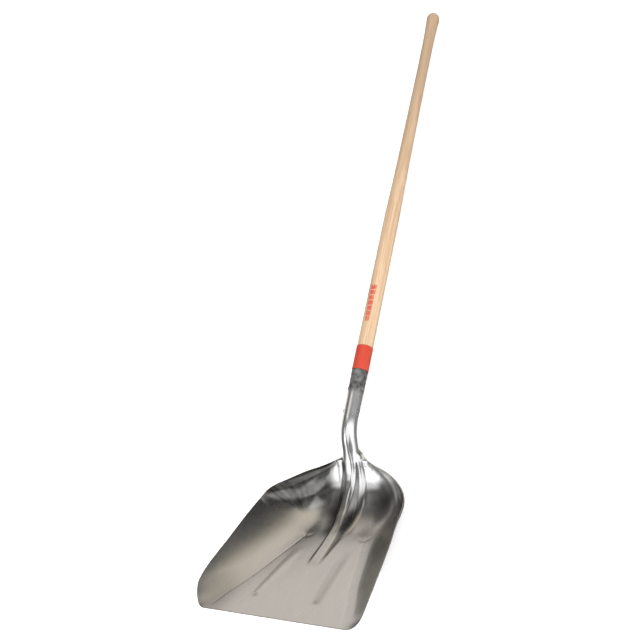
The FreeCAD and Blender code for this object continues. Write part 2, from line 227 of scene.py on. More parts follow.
def centre_line(station):
    """y, z and slope of the blade's centre line: flat, heel arc, back wall, neck arc, socket."""
    heel = np.clip(station - FLOOR_LENGTH, 0.0, HEEL_END - FLOOR_LENGTH) / HEEL_RADIUS
    back = np.clip(station - HEEL_END, 0.0, BACK_LENGTH)
    neck = np.clip(station - NECK_START, 0.0, NECK_END - NECK_START) / NECK_RADIUS
    tube = np.maximum(station - NECK_END, 0.0)
    slope = heel - neck
    y = np.minimum(station, FLOOR_LENGTH) + HEEL_RADIUS * np.sin(heel)
    z = HEEL_RADIUS * (1.0 - np.cos(heel))
    y = y + back * math.cos(BACK_ANGLE) + tube * math.cos(LIFT_ANGLE)
    z = z + back * math.sin(BACK_ANGLE) + tube * math.sin(LIFT_ANGLE)
    end = BACK_ANGLE - neck
    y = y + NECK_RADIUS * (math.sin(BACK_ANGLE) - np.sin(end))
    z = z + NECK_RADIUS * (np.cos(end) - math.cos(BACK_ANGLE))
    return y, z, slope


# ---------------------------------------------------------------- from the blade's frame to the row's
def rest_pose():
    """The matrix that lays the shovel down on its heel and its knob, in metres."""
    mouth_y, mouth_z, slope = (float(v) for v in centre_line(np.float64(MOUTH)))
    reach = EXPOSED_LENGTH - KNOB_RADIUS
    knob_y = mouth_y + reach * math.cos(slope)
    knob_z = mouth_z + reach * math.sin(slope)
    heel = HEEL_RADIUS + SHEET / 2.0
    across = knob_y - FLOOR_LENGTH
    up = knob_z - HEEL_RADIUS
    tilt = math.atan2(up, across) + math.asin((heel - KNOB_RADIUS) / math.hypot(across, up))
    turn = Matrix.Rotation(-tilt, 4, "X")
    heel_z = (turn @ Vector((0.0, FLOOR_LENGTH, HEEL_RADIUS))).z
    front_y = -SHEET / 2.0 * math.sin(tilt)
    end_y = (turn @ Vector((0.0, knob_y, knob_z))).y + KNOB_RADIUS
    move = Matrix.Translation((0.0, -(front_y + end_y) / 2.0, heel - heel_z))
    return Matrix.Scale(MM, 4) @ move @ turn


REST = rest_pose()


def socket_frame():
    """The matrix from the handle's own frame, with z up from the mouth, to the row's."""
    y, z, slope = (float(v) for v in centre_line(np.float64(MOUTH)))
    tip = Matrix.Rotation(slope - math.pi / 2.0, 4, "X")
    return REST @ Matrix.Translation((0.0, y, z)) @ tip


SOCKET = socket_frame()


def moved(points, matrix):
    """Points (n, 3) moved by a matrix."""
    m = np.array(matrix)
    return points @ m[:3, :3].T + m[:3, 3]


# ---------------------------------------------------------------- pieces
def make_piece(name, points, faces, material, replaces, attributes):
    """A smooth mesh that rides on the one body of the object and takes a CAD node's place."""
    mesh = bpy.data.meshes.new(name)
    mesh.from_pydata(np.asarray(points).tolist(), [], faces)
    mesh.polygons.foreach_set("use_smooth", [True] * len(mesh.polygons))
    for key, values in attributes.items():
        values = np.asarray(values, np.float32)
        kind = "FLOAT_VECTOR" if values.ndim == 2 else "FLOAT"
        layer = mesh.attributes.new(key, kind, "POINT")
        layer.data.foreach_set("vector" if values.ndim == 2 else "value", values.ravel())
    mesh.update()
    mesh.materials.append(material)
    piece = bpy.data.objects.new(name, mesh)
    bpy.context.scene.collection.objects.link(piece)
    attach(piece, "root")
    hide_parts(replaces)
    return piece


def grid_faces(rows, columns, first=0, flip=False, closed=False):
    """Quads over a grid of points, row by row."""
    r = np.arange(rows - 1)[:, None]
    c = np.arange(columns if closed else columns - 1)[None, :]
    after = (c + 1) % columns
    a = first + r * columns + c
    b = first + r * columns + after
    d = first + (r + 1) * columns + c
    e = first + (r + 1) * columns + after
    quad = (a, d, e, b) if flip else (a, b, e, d)
    return np.stack(quad, -1).reshape(-1, 4).tolist()


# ---------------------------------------------------------------- blade
def flank(width, height, bends):
    """Angle and straight length of a flank between two bends of this length together."""
    low = np.full_like(width, 1e-4)
    high = np.full_like(width, 1.55)
    for _ in range(50):
        angle = (low + high) / 2.0
        straight = (width - bends * np.sin(angle) / angle) / np.cos(angle)
        rise = bends * (1.0 - np.cos(angle)) / angle + straight * np.sin(angle)
        low = np.where(rise < height, angle, low)
        high = np.where(rise < height, high, angle)
    flat = height < 1e-6
    angle = np.where(flat, 0.0, angle)
    return angle, np.where(flat, width - bends, straight)


def tube_radius(station):
    """Radius of the socket, to the middle of the sheet."""
    share = np.clip((station - NECK_END) / SOCKET_LENGTH, 0.0, 1.0)
    return NECK_TUBE_RADIUS + (SOCKET_MOUTH_RADIUS - NECK_TUBE_RADIUS) * share - SHEET / 2.0


def section_pieces(station):
    """Half a section as lengths and curvatures from its middle, and its height there."""
    top, shoulder, fillet, foot, height = cubic(FROG, station)
    angle, straight = flank(foot - top, height, shoulder + fillet)
    crease, crease_angle, width = cubic(CREASE, station)
    crease_angle = np.radians(crease_angle)
    width = np.minimum(width, crease - foot)
    rim, rim_height = cubic(RIM, station)
    x = crease + width * (np.cos(crease_angle / 2.0) - 0.5)
    n = width * np.sin(crease_angle / 2.0)
    across = np.hypot(rim - x, rim_height - n)
    half = np.arctan2(rim_height - n, rim - x) - crease_angle
    wall = across / np.sinc(half / math.pi)
    zero = np.zeros_like(station)
    lengths = [top, shoulder, straight, fillet, crease - width / 2.0 - foot, width, wall]
    bends = [zero, -angle / shoulder, zero, angle / fillet, zero]
    bends += [crease_angle / width, 2.0 * half / wall]
    lengths = np.stack(lengths)
    bends = np.stack(bends)
    rolled = ramp(station, ROLL_START, ROLL_END)
    radius = tube_radius(station)
    gap = SEAM_GAP + THROAT_GAP * (1.0 - ramp(station, THROAT, NECK_END))
    half_tube = math.pi * radius - gap / 2.0
    lengths = lengths * (1.0 + rolled * (half_tube / lengths.sum(0) - 1.0))
    bends = bends * (1.0 - rolled) - rolled / radius
    return lengths, bends, height + rolled * (radius - height)


def half_section(station):
    """x, n, direction and a, for every station and every step across half a section."""
    lengths, bends, height = section_pieces(station)
    x = np.zeros_like(station)
    n = height.copy()
    turn = np.zeros_like(station)
    walked = np.zeros_like(station)
    columns = [(x, n, turn, walked)]
    for k, steps in enumerate(SECTION_STEPS):
        length = lengths[k].copy()
        if k == len(SECTION_STEPS) - 1:  # the wall, cut to the rounded front corner
            oval = 1.0 - np.clip((CORNER_DEPTH - station) / CORNER_DEPTH, 0.0, 1.0) ** 2
            limit = FRONT_HALF + CORNER_WIDTH * np.sqrt(oval)
            reach = np.clip(np.sin(turn) + bends[k] * (limit - x), -1.0, 1.0)
            cut = (np.arcsin(reach) - turn) / bends[k]
            length = np.where(station < CORNER_DEPTH, np.minimum(length, cut), length)
            length = length - EDGE_SOFT
        for i in range(1, steps + 1):
            run = length * i / steps
            dx, dn = chord(run, turn, bends[k])
            columns.append((x + dx, n + dn, turn + bends[k] * run, walked + run))
        x, n, turn, walked = columns[-1]
    return [np.stack([c[j] for c in columns], 1) for j in range(4)]


def stations():
    """Stations of the sections, closer where the shape turns faster."""
    corner = CORNER_DEPTH * (1.0 - np.cos(np.linspace(0.0, math.pi / 2.0, 26)))
    corner = corner + EDGE_SOFT * (1.0 - corner / CORNER_DEPTH)
    parts = [
        corner,
        np.arange(CORNER_DEPTH + 3.0, 200.0, 3.5),
        np.arange(202.0, 425.0, 2.6),
        np.arange(426.0, 505.0, 1.3),
        np.arange(506.5, MOUTH - 2.0, 3.0),
        np.array([MOUTH - EDGE_SOFT]),
    ]
    return np.concatenate(parts)


def press_marks(a, s):
    """How far the pressed sheet stands off its ideal shape, in mm, towards the open side."""
    rib, half_width, height = cubic(RIB, s)
    marks = height * bump(np.abs(a), rib, half_width) + crease_line(a, s)
    return marks + outer_crease(a, s) + heel_dents(a, s) + shoulder_pleats(a, s) + waviness(a, s)


def crease_line(a, s):
    """A fine line along the bottom of the crease, deeper on the left."""
    depth = np.where(a < 0.0, 0.9, 0.4)
    line = (1.0 - ramp(s, FLOOR_LENGTH - 30.0, FLOOR_LENGTH)) * ramp(s, 3.0, 25.0)
    return -depth * line * bump(np.abs(a), cubic(CREASE, s)[0] - 3.0, 3.5)


def outer_crease(a, s):
    """A second, shallower crease outside the first, with a sharp bottom and flat slopes."""
    out = np.abs(a) - cubic(CREASE, s)[0] - 19.0
    slope = np.clip(1.0 - np.sqrt(out * out + 3.0) / 25.0, 0.0, 1.0)
    return -1.9 * slope ** 1.2 * ramp(s, 4.0, 40.0) * (1.0 - ramp(s, 215.0, 275.0))


def heel_dents(a, s):
    """The small curved dents where the creases run out in the heel."""
    station, middle = HEEL_DENT
    out = np.abs(a) - middle
    line = station + 8.0 * (out / 16.0) ** 2
    return -1.5 * bump(s, line, 8.0) * bump(out, 0.0, 21.0)


def shoulder_pleats(a, s):
    """Faint pleats that fan out over the shoulders, where the drawn sheet had too much metal."""
    station, middle = SHOULDER_FAN
    up = s - station
    out = np.abs(a) - middle
    far = np.hypot(out, up)
    angle = np.degrees(np.arctan2(up, np.maximum(out, 1.0)))
    left = np.where(a < 0.0, 1.0, 0.6)
    fan = bump(angle, 52.0, 34.0) * ramp(far, 30.0, 60.0)
    return 0.09 * left * fan * np.sin(np.radians(angle) * 30.0 + 0.02 * far)


def waviness(a, s):
    """Slow waves of a hand-sized pressing, and finer ones lengthwise over the neck."""
    floor = 0.10 * np.sin(a / 23.0 + 0.4) * np.sin(s / 31.0 + 1.1)
    floor = floor * ramp(s, 0.0, 30.0) * (1.0 - bump(s, FLOOR_LENGTH, 50.0))
    back = ramp(s, 290.0, 340.0) * (1.0 - ramp(s, 430.0, 480.0))
    wide = 0.13 + 0.13 * np.sin(a / 11.0 + s / 47.0 + 0.7) * np.sin(s / 17.0 + a / 60.0)
    neck = bump(s, 450.0, 70.0) * 0.10 * np.sin(a / 1.9 + 1.3 * np.sin(s / 26.0))
    return floor + back * wide + neck


def blade_points():
    """Middle surface of the sheet on a grid: points, normals, a, s and how much painted shade it takes.
    """
    s = stations()
    x, n, turn, walked = half_section(s)
    x = np.concatenate([-x[:, :0:-1], x], 1)
    n = np.concatenate([n[:, :0:-1], n], 1)
    turn = np.concatenate([-turn[:, :0:-1], turn], 1)
    a = np.concatenate([-walked[:, :0:-1], walked], 1)
    s = np.repeat(s[:, None], x.shape[1], 1)
    # The marks are placed by x in the floor and heel, and by a from the back wall on
    n = n + press_marks(np.where(s < HEEL_END, x, a), s)
    y, z, slope = centre_line(s)
    point = np.stack([x, y - n * np.sin(slope), z + n * np.cos(slope)], -1)
    normal = [-np.sin(turn), -np.cos(turn) * np.sin(slope), np.cos(turn) * np.cos(slope)]
    return point, np.stack(normal, -1), a, s, painted_shading(x, a, s)


def painted_shading(x, a, s):
    """How dark the sheet is painted, from 0 to 1: painted shade and dark reflections, and a dark streak
    on the neck.
    """
    marks = [wall_shade(x, s), frog_shade(x, s), back_shade(x, a, s)]
    marks += [heel_shade(x, s), neck_shade_and_streak(a, s)]
    return np.maximum.reduce(marks)


def wall_shade(x, s):
    """Painted dark reflections on the upper parts of the side walls, and darkening at the front of the
    left one.
    """
    low = np.where(x < 0.0, 30.0, 10.0)
    high = np.where(x < 0.0, 75.0, 38.0)
    wall = np.where(x < 0.0, 0.62, 0.42) + 0.14 * ramp(s, 130.0, 240.0)
    wall = wall * ramp(np.abs(x) - cubic(CREASE, s)[0], low, high) * (1.0 - ramp(s, 330.0, 400.0))
    front = 0.4 * ramp(-x, 95.0, 160.0) * (1.0 - ramp(s, 40.0, 140.0))
    return np.maximum(wall, front)


def frog_shade(x, s):
    """Painted shade in the fillet at the foot of the frog, and in the valley beside it from the heel
    on, wider on the left.
    """
    out = np.abs(x)
    fillet, foot = cubic(FROG, s)[2:4]
    tip = bump(out, foot - 0.45 * fillet, 0.85 * fillet) * ramp(s, FROG_TIP, 200.0)
    right = foot - 12.0 + 6.0 * ramp(s, 315.0, 350.0)
    valley = np.where(x < 0.0, bump(out, foot, 29.0), bump(out, right, 14.0))
    valley = valley * (1.0 - 0.25 * ramp(s, 315.0, 345.0))
    in_heel = ramp(s, 235.0, 275.0)
    return (tip + in_heel * (valley - tip)) * (1.0 - ramp(s, 355.0, 385.0))


def back_shade(x, a, s):
    """Painted dark reflection on the back wall below the neck and on the left shoulder, with paler
    streaks on the left.
    """
    out = np.abs(x)
    streaks = shoulder_streaks(a, s)
    back = ramp(out, 38.0, 62.0) * ramp(s, 322.0, 350.0) * (1.0 - ramp(s - 0.35 * out, 352.0, 377.0))
    back = back * np.where(x < 0.0, 0.7 + 0.17 * ramp(out, 70.0, 95.0), 0.6)
    back = back * (1.0 - 0.8 * ramp(x, 115.0, 140.0) * ramp(s, 350.0, 370.0))
    back = back * (1.0 - 0.15 * streaks * ramp(-a, 60.0, 100.0))
    shoulder = ramp(-a, 110.0, 140.0) * ramp(s, 300.0, 325.0) * (1.0 - ramp(s, 385.0, 425.0))
    shoulder = shoulder * (1.0 - 0.22 * streaks)
    return np.maximum(back, shoulder)


def shoulder_streaks(a, s):
    """Streaks from 0 to 1 that fan out over the shoulders."""
    station, middle = SHOULDER_FAN
    fan = np.arctan2(s - station, np.maximum(np.abs(a) - middle, 1.0))
    return 0.5 + 0.5 * np.sin(27.0 * fan + 1.0) * np.sin(11.0 * fan)


def heel_shade(x, s):
    """Painted dark reflection round the dents in the heel, and painted shade along the outer side of
    the right rib.
    """
    heel = np.where(x < 0.0, 0.4, 0.6) * bump(s, 274.0, 34.0) * bump(np.abs(x), 64.0, 28.0)
    rib, _, height = cubic(RIB, s)
    rib_shade = 0.3 * bump(x, rib + 4.0, 12.0) * np.minimum(height, 1.0)
    return np.maximum(heel, rib_shade)


def neck_shade_and_streak(a, s):
    """Painted shade left of the neck, a painted shadow line beside it and a dark streak along its top.
    """
    shadow_line = 0.7 * bump(a, -46.0, 5.0) * ramp(s, 385.0, 405.0) * (1.0 - ramp(s, 440.0, 455.0))
    top_streak = 0.6 * bump(a, -5.0, 5.0) * ramp(s, 380.0, 410.0) * (1.0 - ramp(s, 490.0, 515.0))
    # Painted shade over the sheet left of the neck
    left = 0.8 * ramp(-a, 48.0, 75.0) * ramp(s, 350.0, 380.0)
    return np.maximum.reduce([shadow_line, top_streak, left])


def boundary(rows, columns):
    """Indices of the points round the edge of a grid, in order."""
    grid = np.arange(rows * columns).reshape(rows, columns)
    return np.concatenate([grid[0, :-1], grid[:-1, -1], grid[-1, :0:-1], grid[:0:-1, 0]])


def make_blade(material):
    """The sheet: its open side, its back, and rounded edges between them."""
    point, normal, a, s, painted_shade = blade_points()
    rows, columns = a.shape
    count = rows * columns
    point = point.reshape(-1, 3)
    normal = normal.reshape(-1, 3)
    place = np.stack([a.ravel(), s.ravel()], 1) * MM
    painted_shade = painted_shade.ravel()
    half = SHEET / 2.0
    edge = boundary(rows, columns)
    along = np.roll(point[edge], -1, 0) - np.roll(point[edge], 1, 0)
    outward = np.cross(along, normal[edge])
    outward = outward / np.linalg.norm(outward, axis=1)[:, None]
    points = [point + normal * half, point - normal * half]
    places = [place, place]
    painted_shades = [painted_shade, painted_shade]
    loops = [edge]
    for k in range(EDGE_ROWS):
        angle = math.pi * (k + 1) / (EDGE_ROWS + 1)
        lift = math.copysign(abs(math.cos(angle)) ** 0.6, math.cos(angle))
        out = math.sin(angle) ** 0.6
        points.append(point[edge] + normal[edge] * half * lift + outward * EDGE_SOFT * out)
        places.append(place[edge])
        painted_shades.append(painted_shade[edge])
        loops.append(2 * count + k * len(edge) + np.arange(len(edge)))
    loops.append(edge + count)
    faces = grid_faces(rows, columns)
    faces += grid_faces(rows, columns, count, True)
    for inner, outer in zip(loops, loops[1:]):
        quad = (inner, outer, np.roll(outer, -1), np.roll(inner, -1))
        faces += np.stack(quad, -1).tolist()
    places = np.concatenate(places)
    sheet = np.column_stack([places, np.zeros(len(places))])
    layers = {"sheet": sheet, "painted_shade": np.concatenate(painted_shades)}
    points = moved(np.concatenate(points), REST)
    return make_piece("scoop", points, faces, material, "blade", layers)


# ---------------------------------------------------------------- handle and band
def turned(profile):
    """Points of a shape turned round z from (radius, height) points on its outline."""
    angle = np.arange(ROUND_STEPS) * 2.0 * math.pi / ROUND_STEPS
    ring = np.stack([np.cos(angle), np.sin(angle)], 1)
    loops = [np.column_stack([r * ring, np.full(ROUND_STEPS, h)]) for r, h in profile]
    return np.concatenate(loops)


def handle_profile():
    """Outline of the handle from the nose of its chuck to the knob, by (radius, height)."""
    nose = -SOCKET_LENGTH - CHUCK_NOSE
    bottom = [(0.02, nose), (6.5, nose), (8.6, nose + 0.9), (9.5, nose + 3.0)]
    low = NECK_TUBE_RADIUS - SHEET - CHUCK_CLEARANCE
    high = SOCKET_MOUTH_RADIUS - SHEET - CHUCK_CLEARANCE
    share = np.linspace(0.0, 1.0, 12)
    chuck = list(zip(low + (high - low) * share, SOCKET_LENGTH * (share - 1.0)))
    foot = [(GRIP_RADIUS - BAND_SEAT, SHOULDER), (GRIP_RADIUS - 0.02, BAND_LENGTH)]
    straight = np.linspace(BAND_LENGTH + 1.0, EXPOSED_LENGTH - TAPER_LENGTH, 90)
    shank = [(GRIP_RADIUS - 0.005, h) for h in straight]
    away = np.linspace(TAPER_LENGTH, KNOB_RADIUS, 190)[1:]
    taper = list(zip(cubic(TAPER, away)[0] - 0.005, EXPOSED_LENGTH - away))
    turn = np.linspace(0.0, math.pi / 2.0, 18)[1:-1]
    centre = EXPOSED_LENGTH - KNOB_RADIUS
    knob = list(zip(KNOB_RADIUS * np.cos(turn), centre + KNOB_RADIUS * np.sin(turn)))
    return bottom + chuck + foot + shank + taper + knob + [(0.02, EXPOSED_LENGTH)]


def make_handle(material):
    """One turned piece of wood, closed by a small flat face at each end."""
    profile = handle_profile()
    points = turned(profile)
    faces = grid_faces(len(profile), ROUND_STEPS, closed=True)
    faces.append(list(range(ROUND_STEPS - 1, -1, -1)))
    faces.append(list(range(len(points) - ROUND_STEPS, len(points))))
    layers = {"grain": points * MM}
    points = moved(points, SOCKET)
    return make_piece("ash_handle", points, faces, material, "handle", layers)


def make_band(material):
    """A thin sleeve with slightly hollow ends, seated in a groove of the handle."""
    outer = GRIP_RADIUS + BAND_THICKNESS - 0.01
    turn = np.linspace(0.0, math.pi / 2.0, 6)
    low = list(zip(outer - BAND_HOLLOW * np.cos(turn), BAND_HOLLOW * (1.0 - np.sin(turn))))
    high = [(r, BAND_LENGTH - h) for r, h in reversed(low)]
    middle = [(outer, h) for h in np.linspace(2.0, BAND_LENGTH - 2.0, 12)]
    # The bore runs just under the handle's surface
    bore = [(GRIP_RADIUS - 0.05, BAND_LENGTH - 0.1), (GRIP_RADIUS - BAND_SEAT - 0.05, 2.2), (17.2, 0.3)]
    profile = low + middle + high + bore
    points = turned(profile)
    faces = grid_faces(len(profile) + 1, ROUND_STEPS, closed=True)
    faces = [[i % len(points) for i in face] for face in faces]
    layers = {"grain": points * MM}
    points = moved(points, SOCKET)
    return make_piece("red_band", points, faces, material, "colour_band", layers)


# ---------------------------------------------------------------- materials
# Colours, in linear light, as single tones or as the two ends of a mottle
BRUSHED = ((0.62, 0.605, 0.59), (0.70, 0.69, 0.675))
# Polished metal, painted paler as a painted highlight up the back and neck
POLISHED_HIGHLIGHT = (0.97, 0.97, 0.975)
# Painted shade and dark reflections on the sheet
SHADE_TONE = (0.085, 0.081, 0.074)
DULLED = ((0.19, 0.19, 0.19), (0.62, 0.62, 0.62))
WOOD = ((0.52, 0.375, 0.25), (0.40, 0.27, 0.163))
FIBRES = (0.33, 0.215, 0.12)
PORES = (0.34, 0.21, 0.11)
# Painted shade towards the knob of the handle
KNOB_SHADE = (0.22, 0.155, 0.10)
DASHES = (0.44, 0.065, 0.042)
BAND = ((0.37, 0.034, 0.017), (0.42, 0.05, 0.026))
RIVETS = ((0.38, 0.38, 0.39), (0.6, 0.6, 0.6))
FLOOR = ((0.93, 0.93, 0.93), (0.96, 0.96, 0.96))
BACKDROP = ((0.96, 0.96, 0.96), (1.0, 1.0, 1.0))
WHITE = (1.0, 1.0, 1.0)
BLACK = (0.0, 0.0, 0.0)


class Nodes:
    """Short calls that add and join the nodes of one material."""

    def __init__(self, name):
        self.material = bpy.data.materials.new(name)
        self.material.use_nodes = True
        self.tree = self.material.node_tree
        self.shader = self.tree.nodes["Principled BSDF"]

    @classmethod
    def over(cls, tree):
        """The same calls on a node tree that is there already, such as the world's."""
        nodes = cls.__new__(cls)
        nodes.tree = tree
        return nodes

    def add(self, kind, sockets=None, **settings):
        node = self.tree.nodes.new(kind)
        for key, value in settings.items():
            setattr(node, key, value)
        for key, value in (sockets or {}).items():
            self.put(node.inputs[key], value)
        return node

    def put(self, socket, value):
        if isinstance(value, bpy.types.NodeSocket):
            self.tree.links.new(value, socket)
        else:
            socket.default_value = value

    def attribute(self, name):
        return self.add("ShaderNodeAttribute", attribute_name=name).outputs["Vector"]

    def attribute_value(self, name):
        return self.add("ShaderNodeAttribute", attribute_name=name).outputs["Fac"]

    def scaled(self, vector, scale):
        node = self.add("ShaderNodeMapping", {"Vector": vector, "Scale": scale})
        return node.outputs["Vector"]

    def noise(self, vector, scale, detail=4.0, rough=0.5, warp=0.0):
        sockets = {"Vector": vector, "Scale": scale, "Detail": detail}
        sockets |= {"Roughness": rough, "Distortion": warp}
        return self.add("ShaderNodeTexNoise", sockets).outputs["Fac"]

    def math(self, operation, a, b=0.0):
        node = self.add("ShaderNodeMath", operation=operation)
        self.put(node.inputs[0], a)
        self.put(node.inputs[1], b)
        return node.outputs[0]

    def remap(self, value, low, high, to_low, to_high, **settings):
        """The range from low to high, stretched to another and cut off at its ends."""
        sockets = {"Value": value, "From Min": low, "From Max": high}
        sockets |= {"To Min": to_low, "To Max": to_high}
        return self.add("ShaderNodeMapRange", sockets, **settings).outputs["Result"]

    def smooth(self, value, low, high):
        """0 at low and 1 at high, with a smooth step between them, whichever is larger."""
        ends = (high, low, 1.0, 0.0) if low > high else (low, high, 0.0, 1.0)
        return self.remap(value, *ends, interpolation_type="SMOOTHSTEP")

    def mix(self, factor, a, b):
        node = self.add("ShaderNodeMix", data_type="RGBA")
        self.put(node.inputs[0], factor)
        for socket, value in ((node.inputs[6], a), (node.inputs[7], b)):
            self.put(socket, value if isinstance(value, bpy.types.NodeSocket) else (*value[:3], 1.0))
        return node.outputs[2]

    def bump(self, height, strength, distance):
        sockets = {"Height": height, "Strength": strength, "Distance": distance}
        return self.add("ShaderNodeBump", sockets).outputs["Normal"]

    def set(self, **sockets):
        """Inputs of the shader, by name with _ for a space."""
        for key, value in sockets.items():
            if isinstance(value, tuple) and len(value) == 3:
                value = (*value, 1.0)
            self.put(self.shader.inputs[key.replace("_", " ")], value)


# The attributes hold places on each surface in metres: a and s on the sheet, and x, y and height above
# the socket's mouth on the handle and the band. The painted shade attribute is a share of painted shade
# and dark reflection.
def aluminium():
    """Brushed on the floor, polished and painted paler up the back and neck as a painted highlight,
    dull at the socket's mouth, and darkened by painted shade and dark reflections.
    """
    m = Nodes("pressed_aluminium")
    sheet = m.attribute("sheet")
    station = m.add("ShaderNodeSeparateXYZ", {"Vector": sheet}).outputs["Y"]
    fine = m.noise(m.scaled(sheet, (900.0, 26.0, 0.0)), 1.0, 3.0, 0.6)
    broad = m.noise(m.scaled(sheet, (30.0, 12.0, 0.0)), 1.0, 4.0, 0.6)
    stain = m.noise(m.scaled(sheet, (75.0, 60.0, 0.0)), 1.0, 5.0, 0.65)
    # How far the station is past each part of the sheet, from 0 to 1
    heel = m.smooth(station, 0.27, 0.36)
    back = m.smooth(station, 0.36, 0.41)
    tube = m.smooth(station, 0.51, 0.555)
    mouth = m.smooth(m.math("ADD", station, m.math("MULTIPLY", stain, 0.02)), 0.594, 0.612)

    brushed = m.remap(fine, 0.3, 0.7, 0.25, 0.38)
    polished = m.remap(broad, 0.3, 0.7, 0.10, 0.20)
    polished = m.math("ADD", polished, m.math("MULTIPLY", tube, m.remap(fine, 0.3, 0.7, 0.08, 0.2)))
    rough = m.math("ADD", brushed, m.math("MULTIPLY", heel, m.math("SUBTRACT", polished, brushed)))
    rough = m.math("ADD", rough, m.math("MULTIPLY", mouth, 0.22))

    metal = m.mix(broad, *BRUSHED)
    # The paler tone up the back and neck is polish and also a painted highlight
    metal = m.mix(back, metal, POLISHED_HIGHLIGHT)
    # Painted shade and dark reflections darken the metal where the painted shade attribute is high
    painted_shade = m.math("MULTIPLY", m.attribute_value("painted_shade"), m.remap(stain, 0.33, 0.67, 0.88, 1.0))
    metal = m.mix(painted_shade, metal, SHADE_TONE)
    dull = m.mix(m.smooth(stain, 0.35, 0.65), *DULLED)
    m.set(Base_Color=m.mix(mouth, metal, dull), Roughness=rough, Metallic=1.0)
    m.set(Normal=m.bump(fine, 0.12, 0.0002))
    return m.material


def ash():
    """Pale straight-grained ash with painted shade towards the knob, and a row of red dashes on top."""
    m = Nodes("lacquered_ash")
    grain = m.attribute("grain")
    x, y, height = m.add("ShaderNodeSeparateXYZ", {"Vector": grain}).outputs
    rings = m.noise(m.scaled(grain, (95.0, 95.0, 1.3)), 1.0, 3.0, 0.5, 0.5)
    fibre = m.noise(m.scaled(grain, (420.0, 420.0, 9.0)), 1.0, 5.0, 0.6)
    pores = m.noise(m.scaled(grain, (1500.0, 1500.0, 40.0)), 1.0, 2.0, 0.5)
    late = m.smooth(m.math("FRACT", m.math("MULTIPLY", rings, 7.0)), 0.35, 0.95)
    pits = m.math("MULTIPLY", m.smooth(pores, 0.56, 0.68), m.remap(late, 0.0, 1.0, 0.15, 0.6))
    # Painted shade that darkens the wood towards the knob
    knob_shade = m.math("MULTIPLY", m.smooth(height, 0.25, 0.9), 0.6)

    wood = m.mix(late, *WOOD)
    wood = m.mix(m.remap(fibre, 0.35, 0.75, 0.0, 0.5), wood, FIBRES)
    wood = m.mix(pits, wood, PORES)
    wood = m.mix(knob_shade, wood, KNOB_SHADE)
    wood = m.mix(dashes(m, x, y, height), wood, DASHES)
    m.set(Base_Color=wood, Roughness=m.remap(fibre, 0.3, 0.7, 0.36, 0.5))
    m.set(Coat_Weight=0.2, Coat_Roughness=0.3)
    relief = m.math("SUBTRACT", fibre, m.math("MULTIPLY", pits, 1.5))
    m.set(Normal=m.bump(relief, 0.2, 0.0003))
    return m.material


def dashes(m, x, y, height):
    """Mask of a row of worn red dashes along the top of the handle, wider towards the knob."""
    first, last, pitch = 0.118, 0.214, 0.0137
    half_row = (last - first) / 2.0
    soft = 0.0004
    turn = m.math("FRACT", m.math("DIVIDE", m.math("SUBTRACT", height, first), pitch))
    dash = m.smooth(m.math("ABSOLUTE", m.math("SUBTRACT", turn, 0.5)), 0.45, 0.38)
    off = m.math("ABSOLUTE", m.math("SUBTRACT", height, (first + last) / 2.0))
    inside = m.smooth(off, half_row + soft, half_row - soft)
    half_width = m.remap(height, first, last, 0.005, 0.0075)
    across = m.math("DIVIDE", m.math("ABSOLUTE", m.math("SUBTRACT", x, 0.002)), half_width)
    mask = m.math("MULTIPLY", m.math("MULTIPLY", dash, inside), m.smooth(across, 1.08, 0.92))
    mask = m.math("MULTIPLY", mask, m.smooth(y, 0.001, -0.001))
    worn = m.noise(m.scaled(m.attribute("grain"), (700.0, 700.0, 120.0)), 1.0, 4.0, 0.6)
    return m.math("MULTIPLY", mask, m.smooth(worn, 0.3, 0.5))


def red_plastic():
    """Slightly mottled red plastic."""
    m = Nodes("red_band_plastic")
    grain = m.attribute("grain")
    mottle = m.noise(m.scaled(grain, (90.0, 90.0, 60.0)), 1.0, 4.0, 0.6)
    m.set(Base_Color=m.mix(mottle, *BAND), Roughness=0.35)
    m.set(Normal=m.bump(mottle, 0.1, 0.0005))
    return m.material


def rivet_steel():
    """Mottled grey steel."""
    m = Nodes("rivet_steel")
    place = m.add("ShaderNodeTexCoord").outputs["Object"]
    mottle = m.noise(place, 900.0, 4.0, 0.6)
    m.set(Base_Color=m.mix(mottle, *RIVETS), Metallic=1.0)
    m.set(Roughness=m.remap(mottle, 0.3, 0.7, 0.25, 0.5))
    return m.material


def floor_paint():
    """Nearly white paint, with a faint glow that keeps the shadow soft."""
    m = Nodes("studio_floor")
    place = m.add("ShaderNodeTexCoord").outputs["Object"]
    mottle = m.noise(place, 3.0, 5.0, 0.6)
    m.set(Base_Color=m.mix(mottle, *FLOOR), Roughness=0.9)
    m.set(Emission_Color=WHITE, Emission_Strength=0.16)
    return m.material


def backdrop_paint():
    """A nearly white glow."""
    m = Nodes("studio_backdrop")
    place = m.add("ShaderNodeTexCoord").outputs["Object"]
    mottle = m.noise(place, 0.4, 4.0, 0.6)
    glow = m.mix(mottle, *BACKDROP)
    m.set(Base_Color=BLACK, Roughness=1.0, Emission_Color=glow, Emission_Strength=1.0)
    return m.material


# ---------------------------------------------------------------- camera, floor and light, in metres
FLOOR_LEVEL = -0.0005


def make_camera():
    """A 50 mm lens above the front right of the scoop, tipped so that the handle leans right."""
    place = Vector((1.0969, -0.9080, 1.6035))
    forward = Vector((-0.58081, 0.37261, -0.72375)).normalized()
    right = Vector((0.81083, 0.18592, -0.55497))
    right = (right - forward * right.dot(forward)).normalized()
    up = right.cross(forward)
    turn = Matrix((right, up, -forward)).transposed().to_4x4()
    data = bpy.data.cameras.new("view")
    data.lens = 50.0
    data.sensor_width = 36.0
    camera = bpy.data.objects.new("view", data)
    camera.matrix_world = Matrix.Translation(place) @ turn
    bpy.context.scene.collection.objects.link(camera)
    bpy.context.scene.camera = camera


